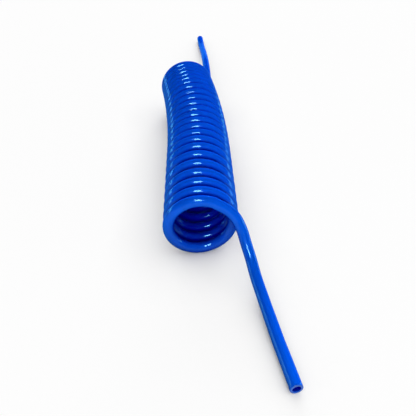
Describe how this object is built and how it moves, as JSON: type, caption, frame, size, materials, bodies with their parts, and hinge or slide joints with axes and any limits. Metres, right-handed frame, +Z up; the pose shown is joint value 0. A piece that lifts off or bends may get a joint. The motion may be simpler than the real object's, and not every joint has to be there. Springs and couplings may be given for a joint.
{
  "type": "coiled air hose",
  "caption": "Spiral recoil hose of round plastic tube, lying on its side, with a straight tail and an open cut end at the front and at the back.",
  "frame": {"origin": "middle of the hose's footprint, on the floor that it lies on", "axes": "+Z up; +Y along the coil from its front turn to its back turn; +X to the right, the side on which both tails lie"},
  "size_m": [0.0907, 0.5672, 0.053],
  "materials": {
    "tube": "gloss"
  },
  "bodies": {
    "front": {"front_end": "tube", "front_tail": "tube", "coil": "tube"},
    "rear": {"rear_tail": "tube", "rear_end": "tube"}
  },
  "joints": [
    {"name": "coil_stretch", "type": "slide", "parent": "front", "child": "rear", "axis": [0, 1, 0], "range_m": [0, 0.6], "stiffness_N_per_m": 7.5, "deforming": ["coil"]}
  ]
}
